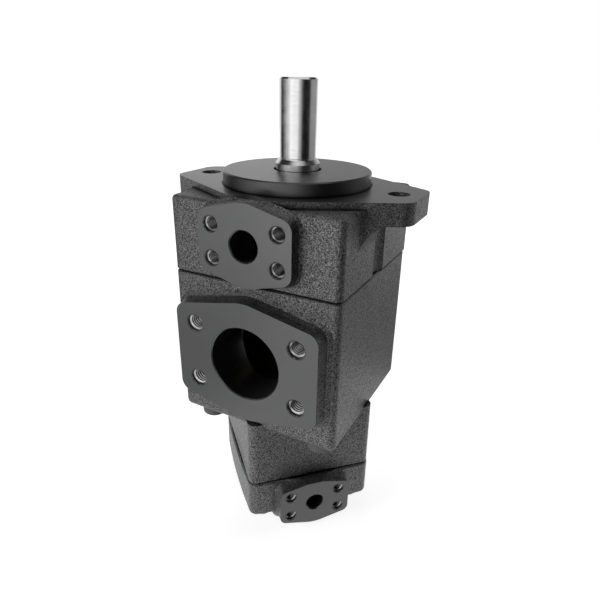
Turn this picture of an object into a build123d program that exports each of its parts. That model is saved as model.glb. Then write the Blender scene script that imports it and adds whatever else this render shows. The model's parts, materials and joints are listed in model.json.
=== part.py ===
from build123d import *
import os
from math import cos, radians, sin, sqrt, tan

# Double vane pump with a two-bolt flange, in millimetres.
# The origin is on the shaft axis in the flange's mounting face, +Z points out of the shaft end,
# and the suction port and the large discharge port look towards -Y.

# Mounting flange
pilot_dia = 101.6
pilot_height = 9.2
pilot_chamfer = 0.8
pilot_groove_width = 1.0
pilot_groove_depth = 0.5
flange_bolt_spacing = 146.0
flange_hole_dia = 14.3
flange_tip_margin = 15.8
flange_tip_half = 20.4
flange_tip_radius = 11.0
flange_front_half = 11.8
flange_front_reach = 62.4
ear_thickness = 14.5
gusset_reach = 12.5
gusset_drop = 15.5
gusset_hollow = 2.6
ear_blend_radius = 8.0
nut_clearance_radius = 13.5

# Front housing
block_half_width = 62.4
front_rear_half_width = 63.2
front_rear_start = 5.0
block_front = 61.2
block_back = 64.0
block_top_drop = 4.5
front_length = 56.2
edge_radius = 5.0
top_edge_radius = 3.2
seam_chamfer = 1.2

# Centre body
body_length = 110.8
lower_half = 48.3
lower_length = 49.2
lower_edge_radius = 6.0
body_base_radius = 4.6

# Rear cover
cover_length = 30.8
cover_edge_radius = 6.5
cover_crown = 2.0
cover_base_radius = 3.0

# Ports: pad plane, size and the four threaded holes
discharge_plane = 69.6
discharge_drop = 27.9
discharge_half_width = 33.5
discharge_half_height = 27.9
discharge_slope = 14.6
discharge_corner = 8.0
discharge_flare = 3.2
discharge_bore = 20.0
discharge_pitch_x = 47.6
discharge_pitch_z = 22.2
discharge_thread = 10.0
discharge_thread_depth = 18.0

suction_plane = 72.3
suction_drop = 108.8
suction_half_width = 54.0
suction_half_height = 44.6
suction_slope = 11.6
suction_corner = 8.5
suction_flare = 5.2
suction_bore = 52.0
suction_pitch_x = 77.8
suction_pitch_z = 42.9
suction_thread = 12.0
suction_thread_depth = 19.0

rear_plane = 58.9
rear_drop = 235.1
rear_half_width = 27.5
rear_half_height = 20.3
rear_slope = 12.5
rear_corner = 5.5
rear_flare = 4.0
rear_bore = 13.5
rear_pitch_x = 38.1
rear_pitch_z = 17.5
rear_thread = 8.0
rear_thread_depth = 12.0
rear_boss_wall = 7.5
rear_boss_end = 22.0

pad_apex_radius = 28.0
thread_chamfer = 0.7
discharge_bore_entry = 6.0
suction_bore_entry = 8.0
# Neck of a port pad: share of its depth, share of its flare
neck_steps = ((0.0, 0.0), (0.5, 0.1), (0.78, 0.35), (1.0, 1.0))
drill_tip_share = 0.5

# Drive shaft
shaft_dia = 25.0
shaft_reach = 67.0
shaft_end_chamfer = 1.2
shaft_groove_height = 17.2
shaft_groove_width = 1.0
shaft_groove_depth = 0.45
shaft_groove_slope = 0.3
journal_cone_share = 0.8
journal_dia = 30.0
journal_top = 13.4
shaft_hole_dia = 33.0
shaft_waist_dia = 27.0
shaft_middle_dia = 23.0
shaft_tail_dia = 18.0
shaft_shoulder_dia = 36.0
shaft_shoulder_width = 3.5
key_width = 8.0
key_height = 7.0
key_depth = 4.0
key_length = 32.0
key_end_margin = 4.0
spline_tooth_height = 1.2
spline_tooth_share = 1.5
spline_front_reach = 2.0
spline_rear_reach = 1.0
shaft_tail_chamfer = 1.0

# Shaft seal
seal_dia = 45.0
seal_width = 8.0
seal_seat_depth = 2.7
seal_case_wall = 1.0
seal_seat_step = 2.0
seal_flange_gap = 2.6
seal_spring_dia = 1.2
lip_web = 1.4
lip_root = 1.5
lip_slope = 0.9
lip_slope_drop = 3.2
lip_edge_drop = 4.6
lip_spring_seat = 2.0
lip_spring_drop = 5.4
lip_foot_drop = 6.4
lip_back = 3.4

# Ball bearing
bearing_dia = 55.0
bearing_width = 13.0
bearing_top = 5.5
ball_dia = 7.144
ball_count = 11
bearing_pitch_dia = 42.5
inner_land_dia = 38.0
outer_land_dia = 47.0
cage_wall = 3.2
cage_width = 9.0
bearing_outer_chamfer = 0.8
bearing_inner_chamfer = 0.6
circlip_width = 2.0
circlip_reach = 1.5
circlip_height = 4.5
circlip_play = 0.2
circlip_gap_half_angle = 9.0
circlip_eye_angle = 11.0
circlip_eye_inset = 0.6
circlip_eye_radius = 2.4
circlip_eye_hole = 1.0
snap_ring_width = 1.5
snap_ring_depth = 0.7
snap_ring_height = 2.6
snap_ring_gap_half_angle = 12.0

# Large cartridge, sized inwards from its cam ring
large_ring_dia = 92.0
large_ring_gap = 3.0
large_screw_edge = 5.5
large_track_wall = 6.1
large_track_rise = 3.9
large_rotor_gap = 0.5
large_rotor_web = 6.6
large_ring_width = 18.0
large_plate_width = 10.8
large_plate_seat = 46.2
large_vane_width = 2.4
large_rear_plate_width = 8.0
large_hub_length = 23.0
large_hub_step = 0.4
large_plate_bore_gap = 2.5
large_notch_wall = 1.5
large_spline_dia = 26.0
large_spline_teeth = 14

# Small cartridge, sized inwards from its cam ring
small_ring_dia = 72.0
small_ring_gap = 2.3
small_screw_edge = 4.6
small_track_wall = 4.0
small_track_rise = 2.9
small_rotor_gap = 0.5
small_rotor_web = 4.6
small_ring_width = 18.0
small_plate_width = 8.0
small_plate_seat = 173.2
small_vane_width = 2.0
small_rear_plate_width = 12.5
small_hub_length = 13.0
small_hub_dia = 38.0
small_notch_wall = 1.2
small_spline_dia = 21.6
small_spline_teeth = 12

# Vanes, ports in the side plates and seals
vane_count = 10
vane_stroke = 2.0
suction_angle = 45.0
discharge_angle = 135.0
port_half_angle = 20.0
plate_recess = 2.8
pocket_wall = 0.3
kidney_inner_wall = 0.4
kidney_outer_wall = 0.2
under_vane_recess = 1.6
under_vane_half = 1.4
slot_hole_share = 0.75
vane_foot_share = 0.6
vane_chamfer_share = 0.3
large_screw_dia = 6.0
small_screw_dia = 5.0
cartridge_dowel_dia = 5.0
cartridge_dowel_turn = 35.0
dowel_chamfer = 0.5
cartridge_end_margin = 1.0
head_sink = 0.5
seal_section = 2.4
seal_groove_width = 3.0
rim_seal_inset = 4.6
hub_seal_inset = 4.0
seam_groove_depth = 2.0
seam_groove_land = 1.8

# Oil spaces, with the shoulders that hold the cartridges
gallery_shoulder = 2.0
gallery_roof = 17.5
gallery_wall = 5.0
gallery_wall_foot = 36.0
chamber_shoulder = 6.0
chamber_foot = 138.0
passage_shoulder = 5.3
cover_gallery_shoulder = 3.3
cover_gallery_floor = 7.0
cover_gallery_wall = 5.0
hub_seat_depth = 9.0

# Rear bush
bush_wall = 3.0
bush_length = 15.0
shaft_end_gap = 2.0
bush_end_gap = 1.2
bush_chamfer = 0.4

# Screws: head, socket and chamfer sizes are shares of the thread
head_radius_share = 0.75
socket_width_share = 0.8
socket_depth_share = 0.5
head_chamfer_share = 0.06
shank_chamfer_share = 0.08
housing_screw_dia = 12.0
housing_screw_place = 46.0
housing_screw_length = 130.0
housing_counterbore_depth = 2.7
cover_screw_dia = 10.0
cover_screw_radius = 51.5
cover_screw_length = 45.0
cover_counterbore_depth = 5.0
screw_hole_gap = 0.5
thread_runout = 3.5
counterbore_gap = 1.5

# Clearances
fit_gap = 0.05
running_gap = 0.05
plate_gap = 0.15
vane_side_gap = 0.04
vane_tip_gap = 0.3
axial_gap = 0.05
seal_gap = 0.02
head_gap = 0.5
shaft_pass_gap = 0.6

# How far a cut runs past its face, how deep joined forms overlap, and a space larger than the pump
past = 1.0
overlap = 0.5
far = 300.0

# Heights worked out from the sizes above
block_top = -block_top_drop
seam_front = -front_length
body_base = seam_front - body_length
seam_rear = body_base - lower_length
cover_base = seam_rear - cover_length
large_plate_top = -large_plate_seat
large_ring_top = large_plate_top - large_plate_width
large_ring_base = large_ring_top - large_ring_width
large_plate_base = large_ring_base - large_rear_plate_width
small_plate_top = -small_plate_seat
small_ring_top = small_plate_top - small_plate_width
small_ring_base = small_ring_top - small_ring_width
small_plate_base = small_ring_base - small_rear_plate_width
large_screw_seat = large_plate_top - large_screw_dia - head_sink
small_screw_seat = small_plate_base + small_screw_dia + head_sink
bearing_base = -bearing_top - bearing_width
circlip_base = bearing_base - circlip_width - 2 * fit_gap
shoulder_base = bearing_base - shaft_shoulder_width
seal_top = pilot_height - seal_seat_depth
cover_gallery_base = cover_base + cover_gallery_floor
hub_seat_base = seam_rear - hub_seat_depth
bush_top = hub_seat_base
bush_base = bush_top - bush_length
shaft_tail = bush_base + shaft_end_gap

# Cartridge sizes worked out from the cam rings
large_bore_dia = large_ring_dia + 2 * large_ring_gap
large_screw_radius = large_ring_dia / 2 - large_screw_edge
large_ring_major = large_screw_radius - large_track_wall
large_ring_minor = large_ring_major - large_track_rise
large_rotor_dia = 2 * (large_ring_minor - large_rotor_gap)
large_slot_base = large_spline_dia / 2 + large_rotor_web
small_bore_dia = small_ring_dia + 2 * small_ring_gap
small_screw_radius = small_ring_dia / 2 - small_screw_edge
small_ring_major = small_screw_radius - small_track_wall
small_ring_minor = small_ring_major - small_track_rise
small_rotor_dia = 2 * (small_ring_minor - small_rotor_gap)
small_slot_base = small_spline_dia / 2 + small_rotor_web
gallery_dia = large_bore_dia - 2 * gallery_shoulder
chamber_dia = large_bore_dia - 2 * chamber_shoulder
passage_dia = small_bore_dia - 2 * passage_shoulder
cover_gallery_dia = small_bore_dia - 2 * cover_gallery_shoulder

# Radii worked out from the sizes above
shaft_radius = shaft_dia / 2
journal_radius = journal_dia / 2
waist_radius = shaft_waist_dia / 2
middle_radius = shaft_middle_dia / 2
tail_radius = shaft_tail_dia / 2
bearing_radius = bearing_dia / 2
large_hub_radius = bearing_radius + large_hub_step
large_bore_radius = large_bore_dia / 2
small_bore_radius = small_bore_dia / 2
small_hub_radius = small_hub_dia / 2
bush_radius = tail_radius + bush_wall
housing_counterbore_radius = housing_screw_dia * head_radius_share + counterbore_gap
cover_counterbore_radius = cover_screw_dia * head_radius_share + counterbore_gap

# Flange tip and the slope of the flange's sides
flange_tip = flange_bolt_spacing / 2 + flange_tip_margin
flange_rise = (flange_front_reach - flange_tip_half) / (flange_tip - flange_front_half)

# Port planes: x along the pad, y up, z out of the pad
rear_axis = (sqrt(0.5), -sqrt(0.5), 0)
discharge_frame = Plane(origin=(0, -discharge_plane, -discharge_drop), x_dir=(1, 0, 0), z_dir=(0, -1, 0))
suction_frame = Plane(origin=(0, -suction_plane, -suction_drop), x_dir=(1, 0, 0), z_dir=(0, -1, 0))
rear_frame = Plane(
    origin=(rear_plane * rear_axis[0], rear_plane * rear_axis[1], -rear_drop),
    x_dir=(sqrt(0.5), sqrt(0.5), 0),
    z_dir=rear_axis,
)


def turned(*corners):
    """Solid of revolution about the shaft axis from (radius, height) corners."""
    outline = Polyline(*[(radius, 0, height) for radius, height in corners], close=True)
    return revolve(make_face(outline), Axis.Z)


def disc(radius, low, high):
    """Solid cylinder on the shaft axis."""
    return Pos(0, 0, low) * Cylinder(radius, high - low, align=(Align.CENTER, Align.CENTER, Align.MIN))


def ring(outer, inner, low, high):
    """Plain ring on the shaft axis."""
    return turned((inner, low), (outer, low), (outer, high), (inner, high))


def pin(x, y, radius, low, high):
    """Upright cylinder at (x, y)."""
    return Pos(x, y, 0) * disc(radius, low, high)


def polar_place(radius, angle):
    """Point on a circle about the shaft axis."""
    return radius * cos(radians(angle)), radius * sin(radians(angle))


def sector(inner, outer, middle_angle, half_angle, low, high):
    """Ring sector about the shaft axis."""
    corners = [(inner, 0, low), (outer, 0, low), (outer, 0, high), (inner, 0, high)]
    profile = make_face(Polyline(*corners, close=True))
    return revolve(Rot(0, 0, middle_angle - half_angle) * profile, Axis.Z, 2 * half_angle)


def kidney(inner, outer, middle_angle, half_angle, low, high):
    """Curved slot with round ends."""
    slot = sector(inner, outer, middle_angle, half_angle, low, high)
    for end in (-half_angle, half_angle):
        x, y = polar_place((inner + outer) / 2, middle_angle + end)
        slot += pin(x, y, (outer - inner) / 2, low, high)
    return slot


def upright_block(half_width, front, back, low, high, radius):
    """Block with rounded upright edges."""
    sketch = Pos(0, (back - front) / 2) * RectangleRounded(2 * half_width, front + back, radius)
    return Pos(0, 0, low) * extrude(sketch, high - low)


def pad_section(half_width, half_height, slope, corner, growth):
    """Port pad outline grown outwards: two flat sides and a shallow roof above and below."""
    wide = half_width + growth
    apex = half_height + growth / cos(radians(slope))
    shoulder = apex - wide * tan(radians(slope))
    lower = [(-wide, -shoulder), (0, -apex), (wide, -shoulder)]
    upper = [(wide, shoulder), (0, apex), (-wide, shoulder)]
    outline = make_face(Polyline(*lower, *upper, close=True))
    apexes = outline.vertices().filter_by(lambda v: abs(v.X) < half_width / 2)
    outline = fillet(apexes, pad_apex_radius)
    sides = outline.vertices().filter_by(lambda v: abs(v.X) > wide - 0.01)
    return fillet(sides, corner + growth)


def port_pad(frame, half_width, half_height, slope, corner, proud, flare):
    """Raised pad whose neck spreads into the wall behind it."""
    sections = []
    for depth_share, flare_share in neck_steps:
        outline = pad_section(half_width, half_height, slope, corner, flare_share * flare)
        sections.append(frame.offset(-depth_share * proud) * outline)
    return loft(sections, ruled=True)


def below(height):
    """Space below a height, to trim a neck at a seam."""
    return Pos(0, 0, height) * Box(far, far, far, align=(Align.CENTER, Align.CENTER, Align.MAX))


def above(height):
    """Space above a height, to trim a neck at a seam."""
    return Pos(0, 0, height) * Box(far, far, far, align=(Align.CENTER, Align.CENTER, Align.MIN))


def entry_chamfer(radius, size):
    """Cone that breaks the edge of a hole whose mouth is at z = 0."""
    cone = Cone(radius, radius + size, size, align=(Align.CENTER, Align.CENTER, Align.MIN))
    return Pos(0, 0, -size) * cone


def tapped_hole(thread, depth):
    """Blind threaded hole going down from z = 0, at its nominal thread size."""
    radius = thread / 2
    down = (Align.CENTER, Align.CENTER, Align.MAX)
    tip = Pos(0, 0, -depth) * Cone(0.0, radius, radius * drill_tip_share, align=down)
    return Cylinder(radius, depth, align=down) + tip + entry_chamfer(radius, thread_chamfer)


def port_holes(frame, bore, bore_depth, pitch_x, pitch_z, thread, depth):
    """Bore and four threaded holes of a port pad."""
    down = (Align.CENTER, Align.CENTER, Align.MAX)
    cuts = frame * (Cylinder(bore / 2, bore_depth, align=down) + entry_chamfer(bore / 2, thread_chamfer))
    for x in (-pitch_x / 2, pitch_x / 2):
        for z in (-pitch_z / 2, pitch_z / 2):
            cuts += frame * Pos(x, z, 0) * tapped_hole(thread, depth)
    return cuts


def four_places(x, y):
    """Corners of a rectangle about the axis."""
    return [(x, y), (-x, y), (-x, -y), (x, -y)]


def cover_screw_places():
    """Screw places in the corners of the turned square."""
    return [polar_place(cover_screw_radius, angle) for angle in (0, 90, 180, 270)]


def flange_outline():
    """Two-bolt flange: flat tips, sloping sides and a flat front and back."""
    quarter = [(flange_tip, flange_tip_half), (flange_front_half, flange_front_reach)]
    points = quarter + [(-x, y) for x, y in reversed(quarter)]
    points += [(-x, -y) for x, y in quarter] + [(x, -y) for x, y in reversed(quarter)]
    outline = make_face(Polyline(*points, close=True))
    tips = outline.vertices().filter_by(lambda v: abs(v.X) > flange_tip - 0.01)
    return fillet(tips, flange_tip_radius)


def flange_ears():
    """Ears below the block's top, blended into the block, with a hollow gusset under their front half."""
    sheet = flange_outline() + Rectangle(2 * block_half_width, 2 * block_front)
    sheet = sheet.faces()[0]
    meet = flange_tip_half + (flange_tip - block_half_width) * flange_rise
    beside = sheet.vertices().filter_by(lambda v: abs(abs(v.X) - block_half_width) < 0.01)
    inner = beside.filter_by(lambda v: abs(abs(v.Y) - meet) < 0.01)
    sheet = fillet(inner, ear_blend_radius) & Rectangle(4 * flange_tip, 2 * (meet + ear_blend_radius))
    foot = -ear_thickness - gusset_drop
    blank = Pos(0, 0, foot) * extrude(sheet, block_top - foot)
    outer = block_half_width + gusset_reach
    shift = gusset_hollow * sqrt(0.5)
    middle = (block_half_width + gusset_reach / 2 - shift, -ear_thickness - gusset_drop / 2 + shift)
    for side in (-1, 1):
        curve = ThreePointArc(
            (side * block_half_width, 0, foot),
            (side * middle[0], 0, middle[1]),
            (side * outer, 0, -ear_thickness),
        )
        rest = Polyline(
            (side * outer, 0, -ear_thickness),
            (side * far, 0, -ear_thickness),
            (side * far, 0, foot),
            (side * block_half_width, 0, foot),
        )
        blank -= extrude(make_face([curve, rest]), far, both=True)
    back_half = Box(far, far, far, align=(Align.CENTER, Align.MIN, Align.MAX))
    return blank - Pos(0, 0, -ear_thickness) * back_half


def front_housing():
    """Front casting: flange, pilot, bearing seat and the large pump's discharge port."""
    back = block_back - 2 * edge_radius
    shell = upright_block(block_half_width, block_front, back, seam_front, block_top, edge_radius)
    rear = upright_block(front_rear_half_width, 0, block_back, seam_front, block_top, edge_radius)
    rear -= Pos(0, front_rear_start, 0) * Box(far, far, far, align=(Align.CENTER, Align.MAX, Align.CENTER))
    shell += rear
    shell = fillet(shell.faces().sort_by(Axis.Z)[-1].outer_wire().edges(), top_edge_radius)
    shell = chamfer(shell.faces().sort_by(Axis.Z)[0].outer_wire().edges(), seam_chamfer)
    shell += flange_ears()
    shell += Pos(0, 0, -ear_thickness) * extrude(flange_outline(), ear_thickness)
    pilot = disc(pilot_dia / 2, -past, pilot_height)
    pilot = chamfer(pilot.faces().sort_by(Axis.Z)[-1].edges(), pilot_chamfer)
    shell += pilot
    shell -= ring(pilot_dia / 2 + pilot_groove_width, pilot_dia / 2, -pilot_groove_depth, 0)
    shell += port_pad(
        discharge_frame,
        discharge_half_width,
        discharge_half_height,
        discharge_slope,
        discharge_corner,
        discharge_plane - block_front + overlap,
        discharge_flare,
    )
    shell -= below(seam_front)
    shell -= front_cavity()
    shell -= port_holes(
        discharge_frame,
        discharge_bore,
        discharge_plane - gallery_dia / 2 + discharge_bore_entry,
        discharge_pitch_x,
        discharge_pitch_z,
        discharge_thread,
        discharge_thread_depth,
    )
    for x in (-flange_bolt_spacing / 2, flange_bolt_spacing / 2):
        shell -= pin(x, 0, flange_hole_dia / 2, -ear_thickness - past, past)
        shell -= pin(x, 0, nut_clearance_radius, seam_front - past, -ear_thickness)
    depth = housing_screw_length - (body_length - housing_counterbore_depth) + thread_runout
    for x, y in four_places(housing_screw_place, housing_screw_place):
        shell -= pin(x, y, housing_screw_dia / 2, seam_front, seam_front + depth)
    return shell


def front_cavity():
    """Everything turned out of the front housing from inside."""
    seal_radius = seal_dia / 2
    wall_inner = large_hub_radius + fit_gap
    groove = bearing_radius + circlip_reach
    seat = turned(
        (0, pilot_height + past),
        (shaft_hole_dia / 2, pilot_height + past),
        (shaft_hole_dia / 2, seal_top),
        (seal_radius + fit_gap, seal_top),
        (seal_radius + fit_gap, seal_top - seal_width - past),
        (seal_radius - seal_seat_step, seal_top - seal_width - past),
        (seal_radius - seal_seat_step, -bearing_top),
        (bearing_radius + fit_gap, -bearing_top),
        (bearing_radius + fit_gap, bearing_base),
        (groove, bearing_base),
        (groove, circlip_base),
        (wall_inner, circlip_base),
        (wall_inner, large_plate_top),
        (0, large_plate_top),
    )
    gallery = ring(gallery_dia / 2, wall_inner + gallery_wall, large_plate_top, -gallery_roof)
    gallery += disc(gallery_dia / 2, large_plate_top - past, -gallery_wall_foot)
    return seat + gallery + disc(large_bore_radius, seam_front - past, large_plate_top)


def turned_square(half, crown, radius, low, high):
    """Square prism turned 45 degrees, with sides that bow out by the crown."""
    corners = [(half, -half), (half, half), (-half, half), (-half, -half)]
    middles = [(half + crown, 0), (0, half + crown), (-half - crown, 0), (0, -half - crown)]
    edges = []
    for index in range(4):
        start = corners[index]
        end = corners[(index + 1) % 4]
        edges.append(ThreePointArc(start, middles[index], end) if crown else Line(start, end))
    sketch = make_face(edges)
    sketch = fillet(sketch.vertices(), radius)
    return Pos(0, 0, low) * Rot(0, 0, 45) * extrude(sketch, high - low)


def centre_body():
    """Middle casting: suction port above, the small pump's turned square housing below."""
    shell = upright_block(block_half_width, block_front, block_back, body_base, seam_front, edge_radius)
    shell = chamfer(shell.faces().sort_by(Axis.Z)[-1].outer_wire().edges(), seam_chamfer)
    shell = fillet(shell.faces().sort_by(Axis.Z)[0].outer_wire().edges(), body_base_radius)
    lower = turned_square(lower_half, 0, lower_edge_radius, seam_rear, body_base + body_base_radius)
    lower = chamfer(lower.faces().sort_by(Axis.Z)[0].outer_wire().edges(), seam_chamfer)
    shell += lower
    shell += port_pad(
        suction_frame,
        suction_half_width,
        suction_half_height,
        suction_slope,
        suction_corner,
        suction_plane - block_front + overlap,
        suction_flare,
    )
    shell -= disc(large_bore_radius, large_plate_base, seam_front + past)
    shell -= disc(chamber_dia / 2, -chamber_foot, large_plate_base + past)
    shell -= disc(passage_dia / 2, small_plate_top, past - chamber_foot)
    shell -= disc(small_bore_radius, seam_rear - past, small_plate_top)
    shell -= port_holes(
        suction_frame,
        suction_bore,
        suction_plane - chamber_dia / 2 + suction_bore_entry,
        suction_pitch_x,
        suction_pitch_z,
        suction_thread,
        suction_thread_depth,
    )
    for x, y in four_places(housing_screw_place, housing_screw_place):
        shell -= pin(x, y, housing_screw_dia / 2 + screw_hole_gap, body_base - past, seam_front + past)
        counterbore_top = body_base + housing_counterbore_depth
        shell -= pin(x, y, housing_counterbore_radius, body_base - past, counterbore_top)
    depth = cover_screw_length - (cover_length - cover_counterbore_depth) + thread_runout
    for x, y in cover_screw_places():
        shell -= pin(x, y, cover_screw_dia / 2, seam_rear - past, seam_rear + depth)
    shell -= seam_groove(large_bore_radius, seam_front)
    return shell


def seam_groove(bore_radius, seam):
    """Face groove just outside a bore, below a seam."""
    inner = bore_radius + seam_groove_land
    return ring(inner + seal_groove_width, inner, seam - seam_groove_depth, seam + past)


def seam_seal(bore_radius, seam):
    """O-ring in the face groove below a seam."""
    section = seam_groove_depth - 2 * seal_gap
    inner = bore_radius + seam_groove_land + (seal_groove_width - section) / 2
    return seal_ring(inner, section, seam - seam_groove_depth / 2)


def rear_cover():
    """Rear casting: the small pump's discharge port, bush seat and screw corners."""
    shell = turned_square(lower_half, cover_crown, cover_edge_radius, cover_base, seam_rear)
    shell = chamfer(shell.faces().sort_by(Axis.Z)[-1].outer_wire().edges(), seam_chamfer)
    shell = fillet(shell.faces().sort_by(Axis.Z)[0].outer_wire().edges(), cover_base_radius)
    shell += port_pad(
        rear_frame,
        rear_half_width,
        rear_half_height,
        rear_slope,
        rear_corner,
        rear_plane - lower_half + overlap,
        rear_flare,
    )
    boss_radius = rear_bore / 2 + rear_boss_wall
    boss_length = rear_plane - rear_boss_end
    boss = Cylinder(boss_radius, boss_length - overlap, align=(Align.CENTER, Align.CENTER, Align.MIN))
    boss += Sphere(boss_radius)
    shell += rear_frame.offset(-boss_length) * boss
    shell -= above(seam_rear)
    shell -= disc(small_hub_radius + fit_gap, hub_seat_base, seam_rear + past)
    shell -= disc(bush_radius, bush_base - bush_end_gap, hub_seat_base + past)
    wall = small_hub_radius + fit_gap + cover_gallery_wall
    shell -= ring(cover_gallery_dia / 2, wall, cover_gallery_base, seam_rear + past)
    shell -= port_holes(
        rear_frame,
        rear_bore,
        rear_plane - (wall + cover_gallery_dia / 2) / 2,
        rear_pitch_x,
        rear_pitch_z,
        rear_thread,
        rear_thread_depth,
    )
    for x, y in cover_screw_places():
        shell -= pin(x, y, cover_screw_dia / 2 + screw_hole_gap, cover_base - past, seam_rear + past)
        shell -= pin(x, y, cover_counterbore_radius, cover_base - past, cover_base + cover_counterbore_depth)
    shell -= seam_groove(small_bore_radius, seam_rear)
    return shell


def spline_teeth(dia, teeth, grow, low, high):
    """Straight spline: root cylinder with teeth, grown by a clearance for the hub."""
    tip = dia / 2 + grow
    root = dia / 2 - spline_tooth_height + grow
    width = spline_tooth_share * dia / teeth + 2 * grow
    solid = disc(root, low, high)
    tooth = Box(tip, width, high - low, align=(Align.MIN, Align.CENTER, Align.MIN))
    tooth = Pos(0, 0, low) * tooth & disc(tip, low, high)
    for index in range(teeth):
        solid += Rot(0, 0, index * 360 / teeth) * tooth
    return solid


def drive_shaft():
    """One stepped shaft through both pumps."""
    groove_low = shaft_groove_height - shaft_groove_width
    cone = journal_radius - shaft_radius
    large_root = large_spline_dia / 2 - spline_tooth_height
    small_root = small_spline_dia / 2 - spline_tooth_height
    large_low, large_high = large_ring_base - spline_rear_reach, large_ring_top + spline_front_reach
    small_low, small_high = small_ring_base - spline_rear_reach, small_ring_top + spline_front_reach
    core = turned(
        (0, shaft_reach),
        (shaft_radius - shaft_end_chamfer, shaft_reach),
        (shaft_radius, shaft_reach - shaft_end_chamfer),
        (shaft_radius, shaft_groove_height),
        (shaft_radius - shaft_groove_depth, shaft_groove_height - shaft_groove_slope),
        (shaft_radius - shaft_groove_depth, groove_low),
        (journal_radius - cone * journal_cone_share, groove_low),
        (journal_radius, journal_top),
        (journal_radius, -bearing_top + snap_ring_width),
        (journal_radius - snap_ring_depth, -bearing_top + snap_ring_width),
        (journal_radius - snap_ring_depth, -bearing_top),
        (journal_radius, -bearing_top),
        (journal_radius, bearing_base),
        (shaft_shoulder_dia / 2, bearing_base),
        (shaft_shoulder_dia / 2, shoulder_base),
        (waist_radius, shoulder_base),
        (waist_radius, large_high),
        (large_root, large_high),
        (large_root, large_low),
        (middle_radius, large_low),
        (middle_radius, small_high),
        (small_root, small_high),
        (small_root, small_low),
        (tail_radius, small_low),
        (tail_radius, shaft_tail + shaft_tail_chamfer),
        (tail_radius - shaft_tail_chamfer, shaft_tail),
        (0, shaft_tail),
    )
    core += spline_teeth(large_spline_dia, large_spline_teeth, 0, large_low, large_high)
    core += spline_teeth(small_spline_dia, small_spline_teeth, 0, small_low, small_high)
    return core - key_solid(fit_gap)


def key_solid(grow):
    """Round-ended key on the shaft's far side, or its keyway when grown."""
    top = shaft_reach - key_end_margin + grow
    base = shaft_reach - key_end_margin - key_length - grow
    slot = SlotOverall(top - base, key_width + 2 * grow, rotation=90)
    foot = shaft_radius - key_depth - grow
    blade = extrude(slot, key_height + 2 * grow)
    frame = Plane(origin=(0, foot, (top + base) / 2), x_dir=(-1, 0, 0), z_dir=(0, 1, 0))
    return frame * blade


def seal_parts():
    """Shaft seal: steel case, rubber lip and the garter spring round it."""
    outer = seal_dia / 2
    inner = outer - seal_case_wall
    foot = seal_top - seal_width
    flange = journal_radius + seal_flange_gap
    case = turned(
        (outer, seal_top),
        (flange, seal_top),
        (flange, seal_top - seal_case_wall),
        (inner, seal_top - seal_case_wall),
        (inner, foot),
        (outer, foot),
    )
    lip_edge = journal_radius + running_gap
    back = seal_top - seal_case_wall - seal_gap
    lip = turned(
        (inner - seal_gap, back),
        (lip_edge + lip_root, back),
        (lip_edge + lip_slope, back - lip_slope_drop),
        (lip_edge, back - lip_edge_drop),
        (lip_edge + lip_web, back - lip_foot_drop),
        (lip_edge + lip_spring_seat, back - lip_foot_drop),
        (lip_edge + lip_spring_seat, back - lip_edge_drop),
        (lip_edge + lip_back, back - lip_web),
        (inner - seal_gap, back - lip_web),
    )
    spring_radius = lip_edge + lip_spring_seat + seal_gap + seal_spring_dia / 2
    spring = Pos(0, 0, back - lip_spring_drop) * Torus(spring_radius, seal_spring_dia / 2)
    return case, lip, spring


def bearing_parts():
    """Deep-groove ball bearing: outer race, inner race, balls and cage."""
    middle = -bearing_top - bearing_width / 2
    pitch = bearing_pitch_dia / 2
    raceway = Pos(0, 0, middle) * Torus(pitch, ball_dia / 2 + running_gap)
    low = bearing_base
    high = -bearing_top
    outer = chamfer(disc(bearing_radius, low, high).edges(), bearing_outer_chamfer)
    outer = outer - disc(outer_land_dia / 2, low, high) - raceway
    inner = chamfer(disc(inner_land_dia / 2, low, high).edges(), bearing_inner_chamfer)
    inner = inner - disc(journal_radius + fit_gap, low, high) - raceway
    cage_base = middle - cage_width / 2
    cage = ring(pitch + cage_wall / 2, pitch - cage_wall / 2, cage_base, cage_base + cage_width)
    balls = []
    for index in range(ball_count):
        x, y = polar_place(pitch, index * 360 / ball_count)
        balls.append(Pos(x, y, middle) * Sphere(ball_dia / 2))
        pocket = Cylinder(ball_dia / 2 + 2 * running_gap, 2 * cage_wall, rotation=(0, 90, 0))
        cage -= Pos(x, y, middle) * Rot(0, 0, index * 360 / ball_count) * pocket
    return outer, inner, Compound(children=balls), cage


def bearing_circlip():
    """Internal circlip in the bearing bore, open on the -Y side, with two plier eyes."""
    outer = bearing_radius + circlip_reach - circlip_play
    inner = outer - circlip_height
    low = circlip_base + fit_gap
    high = bearing_base - fit_gap
    gap = sector(inner - past, outer + past, -90, circlip_gap_half_angle, low - past, high + past)
    clip = ring(outer, inner, low, high) - gap
    for angle in (-90 - circlip_eye_angle, -90 + circlip_eye_angle):
        x, y = polar_place(inner - circlip_eye_inset, angle)
        clip += pin(x, y, circlip_eye_radius, low, high)
        clip -= pin(x, y, circlip_eye_hole, low - past, high + past)
    return clip


def shaft_snap_ring():
    """External snap ring above the bearing's inner race, open on the +X side."""
    inner = journal_radius - snap_ring_depth + fit_gap
    outer = inner + snap_ring_height
    low = -bearing_top + fit_gap
    high = -bearing_top + snap_ring_width - fit_gap
    gap = sector(inner - past, outer + past, 0, snap_ring_gap_half_angle, low - past, high + past)
    return ring(outer, inner, low, high) - gap


def seal_ring(inner, section, height):
    """O-ring on the shaft axis, as squeezed in its groove."""
    return Pos(0, 0, height) * Torus(inner + section / 2, section / 2)


def cartridge_places(radius):
    """Two screw places and two dowel places in a cartridge."""
    screws = [polar_place(radius, angle) for angle in (90, 270)]
    dowels = [polar_place(radius, angle + cartridge_dowel_turn) for angle in (90, 270)]
    return screws, dowels


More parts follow.
